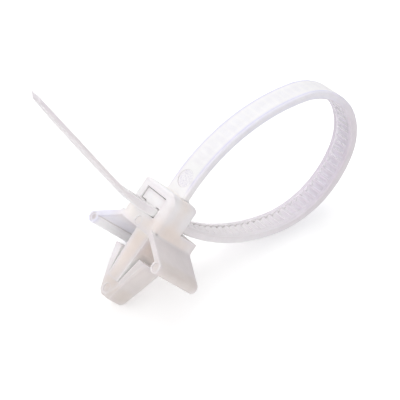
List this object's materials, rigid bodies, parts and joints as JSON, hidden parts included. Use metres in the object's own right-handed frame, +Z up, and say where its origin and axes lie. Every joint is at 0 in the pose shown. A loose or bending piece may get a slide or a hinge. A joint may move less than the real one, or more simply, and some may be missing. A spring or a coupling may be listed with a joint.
{
  "type": "cable tie with wall plug",
  "caption": "One-piece cable tie closed into a loop, its toothed strap locked in a head that snaps into a panel hole by a barbed plug and two spring wings.",
  "frame": {"origin": "centre of the bottom of the part's box, on the surface that it lies on", "axes": "+Z up from that surface; Y is the longest extent, with the tail at -Y and the loop at +Y"},
  "size_m": [0.0236, 0.0552, 0.0412],
  "materials": {
    "nylon": "satin natural nylon, slightly translucent"
  },
  "bodies": {
    "root": {"cable_tie": "nylon"}
  },
  "joints": []
}
